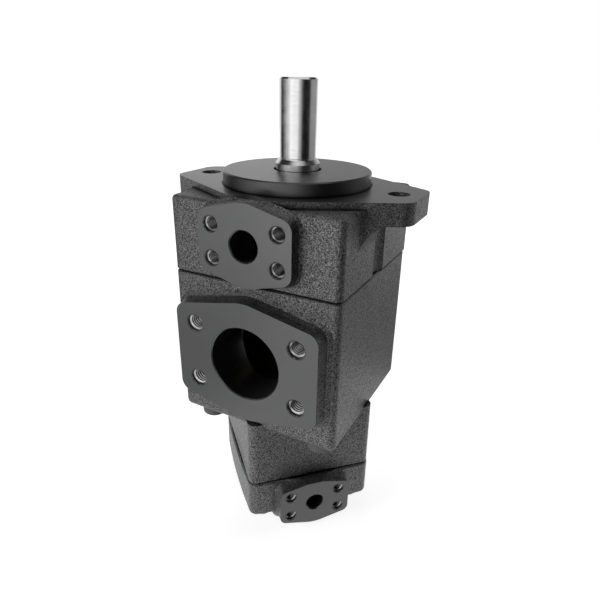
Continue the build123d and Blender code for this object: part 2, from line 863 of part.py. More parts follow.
def plate_cuts(rotor_radius, slot_base, face, inward, outer):
    """Recesses in a side plate's face: suction pockets and the groove that feeds the vane feet."""
    low, high = sorted((face, face + inward * under_vane_recess))
    cuts = ring(slot_base + under_vane_half, slot_base - under_vane_half, low, high)
    low, high = sorted((face, face + inward * plate_recess))
    inner = rotor_radius + pocket_wall
    for turn in (0, 180):
        cuts += sector(inner, outer + past, suction_angle + turn, port_half_angle, low, high)
    return cuts


def drilled(solid, radius, screw_dia, low, high):
    """Cartridge screw and dowel holes through a piece."""
    screws, dowels = cartridge_places(radius)
    for x, y in screws:
        solid -= pin(x, y, screw_dia / 2 + fit_gap, low - past, high + past)
    for x, y in dowels:
        solid -= pin(x, y, cartridge_dowel_dia / 2 + fit_gap, low - past, high + past)
    return solid


def discharge_slots(rotor_radius, major, low, high):
    """Two kidney ports on the discharge side, between the rotor and the cam ring's large radius."""
    inner = rotor_radius + kidney_inner_wall
    outer = major - kidney_outer_wall
    slots = kidney(inner, outer, discharge_angle, port_half_angle, low, high)
    return slots + kidney(inner, outer, discharge_angle + 180, port_half_angle, low, high)


def seal_groove(radius, height):
    """Groove for an O-ring in a turned outside diameter."""
    half = seal_groove_width / 2
    return ring(radius + past, radius - seal_section + fit_gap, height - half, height + half)


def large_front_side_plate():
    """Pressure plate of the large pump, with its hub in the front housing."""
    rim = large_bore_radius - plate_gap
    hub_top = large_plate_top + large_hub_length
    bore = waist_radius + large_plate_bore_gap
    plate = turned(
        (bore, hub_top),
        (large_hub_radius, hub_top),
        (large_hub_radius, large_plate_top - plate_gap),
        (rim, large_plate_top - plate_gap),
        (rim, large_ring_top),
        (bore, large_ring_top),
    )
    plate -= plate_cuts(large_rotor_dia / 2, large_slot_base, large_ring_top, 1, rim)
    plate -= discharge_slots(large_rotor_dia / 2, large_ring_major, large_ring_top - past, hub_top)
    plate = drilled(plate, large_screw_radius, large_screw_dia, large_ring_top, large_plate_top)
    plate -= head_pockets(large_screw_radius, large_screw_dia, large_screw_seat, large_plate_top)
    plate -= seal_groove(large_hub_radius, hub_top - hub_seal_inset)
    return plate - seal_groove(rim, large_ring_top + rim_seal_inset)


def head_pockets(radius, screw_dia, low, high):
    """Sunk places for the heads of the cartridge screws."""
    pocket_radius = screw_dia * head_radius_share + head_gap
    pockets = [pin(x, y, pocket_radius, low, high) for x, y in cartridge_places(radius)[0]]
    return pockets[0] + pockets[1]


def cam_ring(outer, major, minor, screw_radius, screw_dia, low, high):
    """Cam ring: round outside, two-lobed track inside."""
    solid = disc(outer, low, high)
    solid -= Pos(0, 0, low) * extrude(Ellipse(major, minor), high - low)
    return drilled(solid, screw_radius, screw_dia, low, high)


def rotor(radius, slot_base, vane_width, spline_dia, teeth, low, high):
    """Rotor with radial vane slots that end in round pressure holes."""
    low = low + axial_gap
    high = high - axial_gap
    solid = disc(radius, low, high)
    half = vane_width / 2 + vane_side_gap
    slot = Box(radius + past - slot_base, 2 * half, high - low, align=(Align.MIN, Align.CENTER, Align.MIN))
    slot = Pos(slot_base, 0, low) * slot + pin(slot_base, 0, vane_width * slot_hole_share, low, high)
    for index in range(vane_count):
        solid -= Rot(0, 0, index * 360 / vane_count) * slot
    return solid - spline_teeth(spline_dia, teeth, fit_gap, low - past, high + past)


def vane(minor, slot_base, width, low, high, index):
    """One vane at the cam ring's small radius, with its outer edge chamfered."""
    tip = minor - vane_tip_gap
    foot = slot_base + vane_stroke * vane_foot_share
    low = low + axial_gap
    high = high - axial_gap
    blade = Box(tip - foot, width, high - low, align=(Align.MIN, Align.CENTER, Align.MIN))
    edges = blade.edges().filter_by(Axis.Z).group_by(Axis.X)[-1]
    blade = Pos(foot, 0, low) * chamfer(edges, width * vane_chamfer_share)
    return Rot(0, 0, index * 360 / vane_count) * blade


def large_rear_side_plate():
    """Rear plate of the large pump, open to the suction chamber at two notches."""
    rim = large_bore_radius - plate_gap
    plate = ring(rim, large_spline_dia / 2 + shaft_pass_gap, large_plate_base, large_ring_base)
    plate -= plate_cuts(large_rotor_dia / 2, large_slot_base, large_ring_base, -1, rim)
    notch = large_ring_major + large_notch_wall
    low = large_plate_base - past
    for turn in (0, 180):
        plate -= sector(notch, rim + past, suction_angle + turn, port_half_angle, low, large_ring_base)
    low = large_ring_base - plate_recess
    plate -= discharge_slots(large_rotor_dia / 2, large_ring_major, low, large_ring_base)
    return drilled(plate, large_screw_radius, large_screw_dia, large_plate_base, large_ring_base)


def small_front_side_plate():
    """Front plate of the small pump, open to the suction passage at two notches."""
    rim = small_bore_radius - plate_gap
    plate = ring(rim, middle_radius + shaft_pass_gap, small_ring_top, small_plate_top)
    plate -= plate_cuts(small_rotor_dia / 2, small_slot_base, small_ring_top, 1, rim)
    notch = small_ring_major + small_notch_wall
    low = small_ring_top - past
    high = small_plate_top + past
    for turn in (0, 180):
        plate -= sector(notch, rim + past, suction_angle + turn, port_half_angle, low, high)
    high = small_ring_top + plate_recess
    plate -= discharge_slots(small_rotor_dia / 2, small_ring_major, small_ring_top, high)
    return drilled(plate, small_screw_radius, small_screw_dia, small_ring_top, small_plate_top)


def small_rear_side_plate():
    """Pressure plate of the small pump, with its hub in the rear cover."""
    rim = small_bore_radius - plate_gap
    hub_base = small_plate_base - small_hub_length
    bore = small_spline_dia / 2 + shaft_pass_gap
    plate = turned(
        (bore, small_ring_base),
        (rim, small_ring_base),
        (rim, small_plate_base),
        (small_hub_radius, small_plate_base),
        (small_hub_radius, hub_base),
        (bore, hub_base),
    )
    plate -= plate_cuts(small_rotor_dia / 2, small_slot_base, small_ring_base, -1, rim)
    plate -= discharge_slots(small_rotor_dia / 2, small_ring_major, hub_base, small_ring_base + past)
    plate = drilled(plate, small_screw_radius, small_screw_dia, small_plate_base, small_ring_base)
    plate -= head_pockets(small_screw_radius, small_screw_dia, small_plate_base, small_screw_seat)
    plate -= seal_groove(small_hub_radius, hub_base + hub_seal_inset)
    return plate - seal_groove(rim, small_ring_base - rim_seal_inset)


def hex_socket(dia, depth):
    """Hexagonal key socket going down from z = 0."""
    across = dia * socket_width_share
    return extrude(RegularPolygon(across / 2, 6, major_radius=False), -depth)


def cap_screw(dia, length, gap):
    """Socket head cap screw: seat at z = 0, head above, shank below."""
    head = Cylinder(dia * head_radius_share, dia, align=(Align.CENTER, Align.CENTER, Align.MIN))
    head = chamfer(head.faces().sort_by(Axis.Z)[-1].edges(), dia * head_chamfer_share)
    shank = Cylinder(dia / 2 - gap, length, align=(Align.CENTER, Align.CENTER, Align.MAX))
    shank = chamfer(shank.faces().sort_by(Axis.Z)[0].edges(), dia * shank_chamfer_share)
    return head + shank - Pos(0, 0, dia) * hex_socket(dia, dia * socket_depth_share)


def screw_group(screw, places, seat, up):
    """Screws at their seat height, with heads above the seat or below it."""
    turn = Rot(0, 0, 0) if up else Rot(180, 0, 0)
    return Compound(children=[Pos(x, y, seat) * turn * screw for x, y in places])


def cartridge_screws(radius, screw_dia, seat, length, up):
    """The two screws that hold a cartridge together."""
    screw = cap_screw(screw_dia, length, fit_gap)
    return screw_group(screw, cartridge_places(radius)[0], seat, up)


def dowel_pins(radius, low, high):
    """The two pins that line up a cartridge, a little short of its ends."""
    low = low + cartridge_end_margin
    high = high - cartridge_end_margin
    pins = []
    for x, y in cartridge_places(radius)[1]:
        body = chamfer(pin(x, y, cartridge_dowel_dia / 2, low, high).edges(), dowel_chamfer)
        pins.append(body)
    return Compound(children=pins)


def rear_bush():
    """Plain bush for the shaft's tail."""
    bush = ring(bush_radius - seal_gap, tail_radius + running_gap, bush_base, bush_top)
    return chamfer(bush.edges(), bush_chamfer)


def all_pieces():
    """Every piece by its node name."""
    case, lip, spring = seal_parts()
    outer, inner, balls, cage = bearing_parts()
    pieces = {
        "front_housing": front_housing(),
        "centre_body": centre_body(),
        "rear_cover": rear_cover(),
        "drive_shaft": drive_shaft(),
        "shaft_key": key_solid(0),
        "shaft_seal_case": case,
        "shaft_seal_lip": lip,
        "shaft_seal_spring": spring,
        "bearing_outer_race": outer,
        "bearing_inner_race": inner,
        "bearing_balls": balls,
        "bearing_cage": cage,
        "bearing_circlip": bearing_circlip(),
        "shaft_snap_ring": shaft_snap_ring(),
        "large_front_side_plate": large_front_side_plate(),
        "large_cam_ring": cam_ring(
            large_ring_dia / 2,
            large_ring_major,
            large_ring_minor,
            large_screw_radius,
            large_screw_dia,
            large_ring_base,
            large_ring_top,
        ),
        "large_rotor": rotor(
            large_rotor_dia / 2,
            large_slot_base,
            large_vane_width,
            large_spline_dia,
            large_spline_teeth,
            large_ring_base,
            large_ring_top,
        ),
        "large_rear_side_plate": large_rear_side_plate(),
        "large_cartridge_screws": cartridge_screws(
            large_screw_radius,
            large_screw_dia,
            large_screw_seat,
            large_screw_seat - large_plate_base - cartridge_end_margin,
            True,
        ),
        "large_dowel_pins": dowel_pins(large_screw_radius, large_plate_base, large_plate_top),
        "small_front_side_plate": small_front_side_plate(),
        "small_cam_ring": cam_ring(
            small_ring_dia / 2,
            small_ring_major,
            small_ring_minor,
            small_screw_radius,
            small_screw_dia,
            small_ring_base,
            small_ring_top,
        ),
        "small_rotor": rotor(
            small_rotor_dia / 2,
            small_slot_base,
            small_vane_width,
            small_spline_dia,
            small_spline_teeth,
            small_ring_base,
            small_ring_top,
        ),
        "small_rear_side_plate": small_rear_side_plate(),
        "small_cartridge_screws": cartridge_screws(
            small_screw_radius,
            small_screw_dia,
            small_screw_seat,
            small_plate_top - small_screw_seat - cartridge_end_margin,
            False,
        ),
        "small_dowel_pins": dowel_pins(small_screw_radius, small_plate_base, small_plate_top),
        "rear_bush": rear_bush(),
        "housing_screws": screw_group(
            cap_screw(housing_screw_dia, housing_screw_length, fit_gap),
            four_places(housing_screw_place, housing_screw_place),
            body_base + housing_counterbore_depth,
            False,
        ),
        "rear_cover_screws": screw_group(
            cap_screw(cover_screw_dia, cover_screw_length, fit_gap),
            cover_screw_places(),
            cover_base + cover_counterbore_depth,
            False,
        ),
        "front_seam_seal": seam_seal(large_bore_radius, seam_front),
        "rear_seam_seal": seam_seal(small_bore_radius, seam_rear),
        "large_hub_seal": seal_ring(
            large_hub_radius - seal_section + 2 * fit_gap,
            seal_section - 2 * fit_gap,
            large_plate_top + large_hub_length - hub_seal_inset,
        ),
        "large_rim_seal": seal_ring(
            large_bore_radius - plate_gap - seal_section + 2 * fit_gap,
            seal_section - fit_gap,
            large_ring_top + rim_seal_inset,
        ),
        "small_hub_seal": seal_ring(
            small_hub_radius - seal_section + 2 * fit_gap,
            seal_section - 2 * fit_gap,
            small_plate_base - small_hub_length + hub_seal_inset,
        ),
        "small_rim_seal": seal_ring(
            small_bore_radius - plate_gap - seal_section + 2 * fit_gap,
            seal_section - fit_gap,
            small_ring_base - rim_seal_inset,
        ),
    }
    for index in range(vane_count):
        number = f"{index + 1:02d}"
        pieces["large_vane_" + number] = vane(
            large_ring_minor, large_slot_base, large_vane_width, large_ring_base, large_ring_top, index
        )
        pieces["small_vane_" + number] = vane(
            small_ring_minor, small_slot_base, small_vane_width, small_ring_base, small_ring_top, index
        )
    return pieces


os.makedirs("parts", exist_ok=True)
for name, solid in all_pieces().items():
    export_step(solid, f"parts/{name}.step")
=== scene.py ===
"""Looks and studio stage of a double hydraulic vane pump. Laid out as an add-on and run as a script."""

import json
from math import pi, radians

import bmesh
import bpy
from mathutils import Matrix, Vector


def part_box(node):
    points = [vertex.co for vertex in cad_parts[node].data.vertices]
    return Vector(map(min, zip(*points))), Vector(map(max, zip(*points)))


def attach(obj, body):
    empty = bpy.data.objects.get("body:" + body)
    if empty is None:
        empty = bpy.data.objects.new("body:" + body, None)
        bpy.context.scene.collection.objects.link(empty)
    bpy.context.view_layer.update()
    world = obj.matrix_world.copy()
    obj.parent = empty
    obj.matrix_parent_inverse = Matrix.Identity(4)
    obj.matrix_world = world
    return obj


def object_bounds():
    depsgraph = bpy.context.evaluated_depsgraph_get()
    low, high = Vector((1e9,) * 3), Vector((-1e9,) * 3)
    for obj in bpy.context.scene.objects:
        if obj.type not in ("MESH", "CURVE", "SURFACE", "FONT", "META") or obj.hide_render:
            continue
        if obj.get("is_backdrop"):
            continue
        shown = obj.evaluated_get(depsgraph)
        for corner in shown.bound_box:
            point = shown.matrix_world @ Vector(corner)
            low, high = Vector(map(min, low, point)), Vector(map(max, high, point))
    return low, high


bl_info = {
    "name": "Vane pump looks",
    "version": (1, 0, 0),
    "blender": (4, 5, 0),
    "location": "3D View > Sidebar > Vane Pump",
    "description": "Finishes, threads and studio stage of a double vane pump",
    "category": "Object",
}

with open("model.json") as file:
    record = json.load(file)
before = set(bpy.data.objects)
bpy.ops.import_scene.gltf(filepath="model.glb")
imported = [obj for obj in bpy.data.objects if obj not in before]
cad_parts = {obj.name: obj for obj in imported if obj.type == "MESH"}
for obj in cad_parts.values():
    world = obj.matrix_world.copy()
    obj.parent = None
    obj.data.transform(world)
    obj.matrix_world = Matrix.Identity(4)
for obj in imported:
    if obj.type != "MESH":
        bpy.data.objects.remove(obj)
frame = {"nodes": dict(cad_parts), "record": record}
nodes = frame["nodes"]
mounts = {mount["name"]: mount for mount in frame["record"]["mounts"]}

MM = 0.001
WHITE = (1, 1, 1, 1)
UP = (0, 0, 1)

SWELL = 9 * MM  # size of the soft swells of the cast skin
PATCHES = 26 * MM  # size of the darker patches in the paint
TOOL_MARKS = 0.5 * MM  # size of the marks on cut faces
HAZE = 7 * MM  # size of the dull places on ground steel
FLOOR_PATCHES = 0.4  # size of the paler patches of the floor, in metres

SWELL_DEPTH = 1.6  # height of the swells over the height of the grain
FINE_DEPTH = 0.3  # height of the finest grain over the height of the grain
MILLING_DEPTH = 0.006 * MM  # height of the marks on the machined faces
GRINDING_DEPTH = 0.0025 * MM  # height of the marks left by grinding
METAL_DEPTH = 0.01 * MM  # height of the grain of dull and cut metal
MOULD_DEPTH = 0.02 * MM  # height of the grain of moulded pieces

FLANGE_FACE = -0.15 * MM  # height above which a casting is turned
WELD = 0.001 * MM  # vertices nearer to each other than this are one
HEAD_PROPORTION = 0.75  # radius of a socket head over its height
THREAD_HEIGHT = 0.54  # height of a thread over its pitch
THREAD_FOOT = 0.03 * MM  # how far a thread's foot stands in the wall of its hole
THREAD_STEPS = 28  # steps in one turn of a thread

FLOOR_GAP = 0.3 * MM  # gap between the floor and the pump's lowest point
LAMP_SIZE = 0.9  # side of a softbox, in metres
CARD_STEPS = 16  # steps in the sweep of a card


def length(name, description, default):
    """A length property in metres, from millimetres."""
    return bpy.props.FloatProperty(
        name=name, description=description, default=default * MM, unit="LENGTH"
    )


def angle(name, description, default):
    """An angle property, from degrees."""
    return bpy.props.FloatProperty(
        name=name, description=description, default=radians(default), unit="ROTATION"
    )


def colour(name, description, default):
    """A colour property."""
    return bpy.props.FloatVectorProperty(
        name=name, description=description, default=default, subtype="COLOR"
    )


def share(name, description, default):
    """A property from 0 to 1."""
    return bpy.props.FloatProperty(
        name=name, description=description, default=default, min=0.0, max=1.0, subtype="FACTOR"
    )


class Wiring:
    """Shader nodes being wired in a node tree."""

    def __init__(self, tree):
        self.tree = tree

    def node(self, kind, **settings):
        """A new shader node with its settings."""
        made = self.tree.nodes.new("ShaderNode" + kind)
        for name, value in settings.items():
            setattr(made, name, value)
        return made

    def feed(self, socket, value):
        """Links a node's output to a socket, or sets the socket's own value."""
        if isinstance(value, bpy.types.NodeSocket):
            self.tree.links.new(value, socket)
        else:
            socket.default_value = value

    def maths(self, operation, first, second, third=0.0):
        """One Math node."""
        made = self.node("Math", operation=operation)
        for socket, value in zip(made.inputs, (first, second, third)):
            self.feed(socket, value)
        return made.outputs[0]

    def between(self, value, low, high, to_low=0.0, to_high=1.0, kind="SMOOTHSTEP"):
        """Value taken from the range low to high into another range."""
        made = self.node("MapRange", interpolation_type=kind)
        for socket, number in zip(made.inputs, (value, low, high, to_low, to_high)):
            self.feed(socket, number)
        return made.outputs[0]


class Finish(Wiring):
    """A material being wired: its shader, the object's coordinates and the nodes between them."""

    def __init__(self, name, metallic=0.0):
        self.material = bpy.data.materials.new(name)
        self.material.use_nodes = True
        super().__init__(self.material.node_tree)
        self.shader = self.tree.nodes["Principled BSDF"]
        self.shader.inputs["Metallic"].default_value = metallic
        self.place = self.node("TexCoord").outputs["Object"]

    def vector_maths(self, operation, first, second, output=0):
        """One Vector Math node."""
        made = self.node("VectorMath", operation=operation)
        self.feed(made.inputs[0], first)
        self.feed(made.inputs[1], second)
        return made.outputs[output]

    def size_of(self, vector):
        """The length of a vector."""
        made = self.node("VectorMath", operation="LENGTH")
        self.feed(made.inputs[0], vector)
        return made.outputs["Value"]

    def along(self, direction, place=None):
        """How far a place lies along a direction."""
        return self.vector_maths("DOT_PRODUCT", place or self.place, direction, "Value")

    def stretched(self, scale):
        """The object's coordinates with a scale for each axis."""
        made = self.node("Mapping")
        self.feed(made.inputs["Vector"], self.place)
        made.inputs["Scale"].default_value = scale
        return made.outputs[0]

    def noise(self, size, detail, roughness, place=None):
        """Noise whose features are about as large as size, in metres."""
        made = self.node("TexNoise")
        self.feed(made.inputs["Vector"], place or self.place)
        made.inputs["Scale"].default_value = 1 / size
        made.inputs["Detail"].default_value = detail
        made.inputs["Roughness"].default_value = roughness
        return made.outputs["Fac"]

    def openness(self, reach):
        """1 on open surface, towards 0 in corners, slits and holes, looking as far as reach."""
        made = self.node("AmbientOcclusion", samples=6)
        made.inputs["Distance"].default_value = reach
        return made.outputs["AO"]

    def spread(self, noise, middle, at_low, at_high):
        """A roughness that a noise moves away from its middle value, by so much at each end."""
        return self.between(noise, 0.3, 0.7, middle + at_low, middle + at_high)

    def mixed(self, factor, first, second):
        """Two colours mixed by a factor."""
        made = self.node("Mix", data_type="RGBA")
        self.feed(made.inputs["Factor"], factor)
        for name, value in (("A", first), ("B", second)):
            socket = [s for s in made.inputs if s.name == name and s.type == "RGBA"][0]
            if not isinstance(value, bpy.types.NodeSocket):
                value = (*value, 1.0)
            self.feed(socket, value)
        return [s for s in made.outputs if s.type == "RGBA"][0]

    def on_plane(self, direction, distance, tolerance=0.12 * MM):
        """1 on the flat face at a distance along a direction."""
        return self.maths("COMPARE", self.along(direction), distance, tolerance)

    def inside(self, radius, low, high):
        """1 nearer to the shaft axis than a radius, between two heights."""
        flat = self.vector_maths("MULTIPLY", self.place, (1, 1, 0))
        near = self.maths("LESS_THAN", self.size_of(flat), radius)
        middle, half = (low + high) / 2, (high - low) / 2
        return self.maths("MULTIPLY", near, self.maths("COMPARE", self.along(UP), middle, half))

    def in_bore(self, mouth, axis, radius, depth):
        """1 on the wall of a round hole, from its mouth to a depth."""
        offset = self.vector_maths("SUBTRACT", self.place, mouth)
        along = self.along(axis, offset)
        scaled = self.node("VectorMath", operation="SCALE")
        scaled.inputs[0].default_value = axis
        self.feed(scaled.inputs["Scale"], along)
        across = self.vector_maths("SUBTRACT", offset, scaled.outputs[0])
        slack, skin = 0.9 * MM, 0.2 * MM
        near = self.maths("LESS_THAN", self.size_of(across), radius + slack)
        inwards = self.maths("COMPARE", along, (skin - depth) / 2, (skin + depth) / 2)
        return self.maths("MULTIPLY", near, inwards)

    def bump(self, height, depth, below=None):
        """Bumps of a depth in metres, over those already there."""
        made = self.node("Bump")
        made.inputs["Strength"].default_value = 1.0
        made.inputs["Distance"].default_value = depth
        self.feed(made.inputs["Height"], height)
        if below is not None:
            self.feed(made.inputs["Normal"], below)
        return made.outputs[0]

    def finish(self, base_colour, roughness, normal=None):
        """Wires the shader and returns the material."""
        if not isinstance(base_colour, bpy.types.NodeSocket):
            base_colour = (*base_colour, 1.0)
        self.feed(self.shader.inputs["Base Color"], base_colour)
        self.feed(self.shader.inputs["Roughness"], roughness)
        if normal is not None:
            self.feed(self.shader.inputs["Normal"], normal)
        return self.material


def dress(names, material):
    """Gives each CAD node the material, in a slot of its own."""
    for name in names:
        slots = nodes[name].data.materials
        slots.clear()
        slots.append(material)


def named(prefix, suffix=""):
    """The CAD nodes whose names start and end so."""
    return sorted(name for name in nodes if name.startswith(prefix) and name.endswith(suffix))


def placed(name, mesh, material):
    """A new object in the scene, made from a mesh that isn't needed any more."""
    data = bpy.data.meshes.new(name)
    mesh.to_mesh(data)
    mesh.free()
    data.materials.append(material)
    made = bpy.data.objects.new(name, data)
    bpy.context.scene.collection.objects.link(made)
    return made


def add_piece(name, mesh, body, material):
    """A new piece at the origin, riding on a body."""
    piece = placed(name, mesh, material)
    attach(piece, body)


def swept(mesh, geometry, turn, steps, drop=0.0):
    """Sweeps geometry round the Z axis, lower by a drop at each step."""
    bmesh.ops.spin(
        mesh,
        geom=geometry,
        cent=(0, 0, 0),
        axis=UP,
        dvec=(0, 0, -drop),
        angle=turn,
        steps=steps,
        use_merge=False,
        use_normal_flip=False,
        use_duplicate=False,
    )


def facing(axis):
    """A turn that takes +Z to an axis, with X kept level."""
    axis = Vector(axis).normalized()
    side = Vector(UP).cross(axis)
    side = side.normalized() if side.length > 0.001 else Vector((1, 0, 0))
    return Matrix((side, axis.cross(side), axis)).transposed().to_4x4()


class PumpCastings(bpy.types.PropertyGroup):
    """Paint and machined faces of the three castings."""

    paint: colour("Paint", "Colour of the paint on the rough castings", (0.014, 0.014, 0.015))
    # Hollows: near-black used for the grain's pits, partly their own tone and partly painted shade, and
    # for darker patches and tool marks.
    hollow: colour("Hollows", "Paint colour down in the grain", (0.003, 0.003, 0.003))
    speck: colour("Specks", "Colour of the bright specks on the grain", (0.27, 0.27, 0.28))
    pit_share: share("Pits", "How dark the pits of the grain are", 0.60)
    # Painted shade: the near-black laid in corners and seam grooves, where shade falls.
    painted_shade: colour("Grime", "Colour of the dirt gathered in corners and slits", (0.003, 0.003, 0.003))
    gloss: share("Gloss", "Share of light that paint and machined faces mirror", 1.0)
    grain: length("Grain", "Size of the sand grain", 1.00)
    grain_depth: length("Grain depth", "Height of the sand grain", 0.50)
    # How far the painted shade reaches from corners and from seams.
    corner_shade_reach: length("Corner reach", "How far from a corner the grime shows", 7.0)
    seam_shade_reach: length("Seam reach", "How far from a seam the grime shows", 2.2)
    paint_roughness: share("Paint roughness", "Roughness of the paint", 0.38)
    machined: colour("Machined", "Colour of the machined and painted faces", (0.032, 0.033, 0.035))
    machined_roughness: share("Machined roughness", "Roughness of the machined faces", 0.31)
    turned: colour("Turned", "Colour of the turned pilot and flange face", (0.009, 0.009, 0.009))
    turned_dullness: share("Turned dullness", "How much less light the turned faces mirror", 0.25)
    oiled: colour("Oiled", "Colour of the turned and oiled insides", (0.014, 0.014, 0.015))
    oiled_roughness: share("Oiled roughness", "Roughness of the oiled insides", 0.26)
    discharge_pad: length("Discharge pad", "Discharge port's face from the shaft axis", 69.6)
    suction_pad: length("Suction pad", "Suction port's face from the shaft axis", 72.3)
    rear_pad: length("Rear pad", "Rear port's face from the shaft axis", 58.9)
    front_cavity: length("Front cavity", "Radius of the front housing's inside", 49.2)
    chamber: length("Chamber", "Radius of the centre body's inside", 46.0)
    cover_cavity: length("Cover cavity", "Radius of the rear cover's inside", 40.0)
    skin: length("Skin", "How far the insides stay below the castings' outer ends", 1.0)


class PumpShaft(bpy.types.PropertyGroup):
    """Ground steel of the shaft and its key."""

    steel: colour("Steel", "Colour of the ground steel", (0.62, 0.62, 0.62))
    roughness: share("Roughness", "Roughness of the ground steel", 0.17)
    grinding: length("Grinding marks", "Width of the marks left by grinding", 0.35)


class PumpScrews(bpy.types.PropertyGroup):
    """Socket head screws under the castings."""

    steel: colour("Steel", "Colour of the painted screws", (0.11, 0.11, 0.11))
    roughness: share("Roughness", "Roughness of the screws", 0.42)
    knurls: bpy.props.IntProperty(name="Knurls", description="Ridges round a screw head", default=44)
    knurl_depth: length("Knurl depth", "Height of a ridge on a screw head", 0.22)
    knurl_margin: length("Knurl margin", "Plain edge above and below the ridges", 1.1)


class PumpThreads(bpy.types.PropertyGroup):
    """Threads cut in the port pads."""

    crest: colour("Crest", "Colour of the cut iron on the crests", (0.62, 0.62, 0.62))
    # Root and reach: painted shade, near-black in the closed-in roots between the crests, as far as
    # reach.
    root: colour("Root", "Colour of the dirt between the crests", (0.004, 0.004, 0.004))
    reach: length("Reach", "How far from a root the dirt shows", 1.5)
    roughness: share("Roughness", "Roughness of the cut iron", 0.34)
    discharge_pitch: length("Discharge pitch", "Thread pitch at the discharge port", 1.5)
    discharge_depth: length("Discharge depth", "Threaded depth at the discharge port", 16.0)
    suction_pitch: length("Suction pitch", "Thread pitch at the suction port", 1.95)
    suction_depth: length("Suction depth", "Threaded depth at the suction port", 17.0)
    rear_pitch: length("Rear pitch", "Thread pitch at the rear port", 1.25)
    rear_depth: length("Rear depth", "Threaded depth at the rear port", 11.0)
    lead_in: length("Lead-in", "Plain length above the first turn", 1.3)


class PumpInside(bpy.types.PropertyGroup):
    """Bearing, seals and the two pumping cartridges."""

    race_steel: colour("Race steel", "Colour of the bearing's races and balls", (0.66, 0.66, 0.67))
    ring_steel: colour("Ring steel", "Colour of cam rings, rotors and vanes", (0.50, 0.50, 0.51))
    spring_steel: colour("Spring steel", "Colour of circlip, snap ring and seal case", (0.42, 0.42, 0.43))
    bronze: colour("Bronze", "Colour of side plates and bush", (0.55, 0.40, 0.20))
    cage: colour("Cage", "Colour of the bearing's cage", (0.62, 0.56, 0.42))
    rubber: colour("Rubber", "Colour of the seals", (0.030, 0.030, 0.031))


class PumpStage(bpy.types.PropertyGroup):
    """Camera, floor and lights."""

    camera_place: bpy.props.FloatVectorProperty(
        name="Camera", description="Place of the camera", default=(0.1696, -0.3223, 0.0699), unit="LENGTH"
    )
    azimuth: angle("Azimuth", "Turn of the camera about Z", 27.22)
    pitch: angle("Pitch", "Angle that the camera looks down", 23.59)
    roll: angle("Roll", "Turn of the camera about its own axis", 1.09)
    lens: bpy.props.FloatProperty(name="Lens", description="Focal length in millimetres", default=31.32)
    floor: colour("Floor", "Colour of the pale floor", (0.45, 0.45, 0.45))
    floor_patch: colour("Floor patches", "Colour of the floor's paler patches", (0.84, 0.84, 0.84))
    floor_roughness: share("Floor roughness", "Roughness of the floor", 0.85)
    floor_radius: length("Floor radius", "Radius of the round floor", 3000.0)
    floor_glow: share("Floor glow", "Light that the floor's picture gets on top, near the pump", 0.80)
    glow_start: length("Glow start", "Distance from the pump at which the floor gets paler", 350.0)
    glow_end: length("Glow end", "Distance from the pump at which the floor is white", 900.0)
    fill: share("Fill", "Strength of the light from the horizon", 0.29)
    fill_low: share("Fill low", "Height of the sky up to which the light is full", 0.1)
    fill_high: share("Fill high", "Height of the sky from which there is no light", 0.7)
    # The cards and the ceiling cloth are glowing sheets seen only in reflections: painted reflections.
    card_radius: length("Card distance", "Distance of the cards from the pump", 620.0)
    card_foot: length("Card foot", "Where the cards' feet start on the floor", 220.0)
    card_top: length("Card height", "Height of the cards above the flange", 260.0)
    card_hem: length("Card hem", "Height of the hanging card's lower edge above the flange", 60.0)
    card_sill: length("Card sill", "Height where the low cards end and the front cards start", -110.0)
    card_lift: length("Card lift", "Gap between the floor and the cards' feet", 0.5)
    ceiling: length("Ceiling", "Height of the dark ceiling cloth above the flange", 600.0)
    ceiling_radius: length("Ceiling radius", "Radius of the dark ceiling cloth", 1300.0)
    ceiling_window: length("Ceiling window", "Radius of the opening in the ceiling cloth", 380.0)


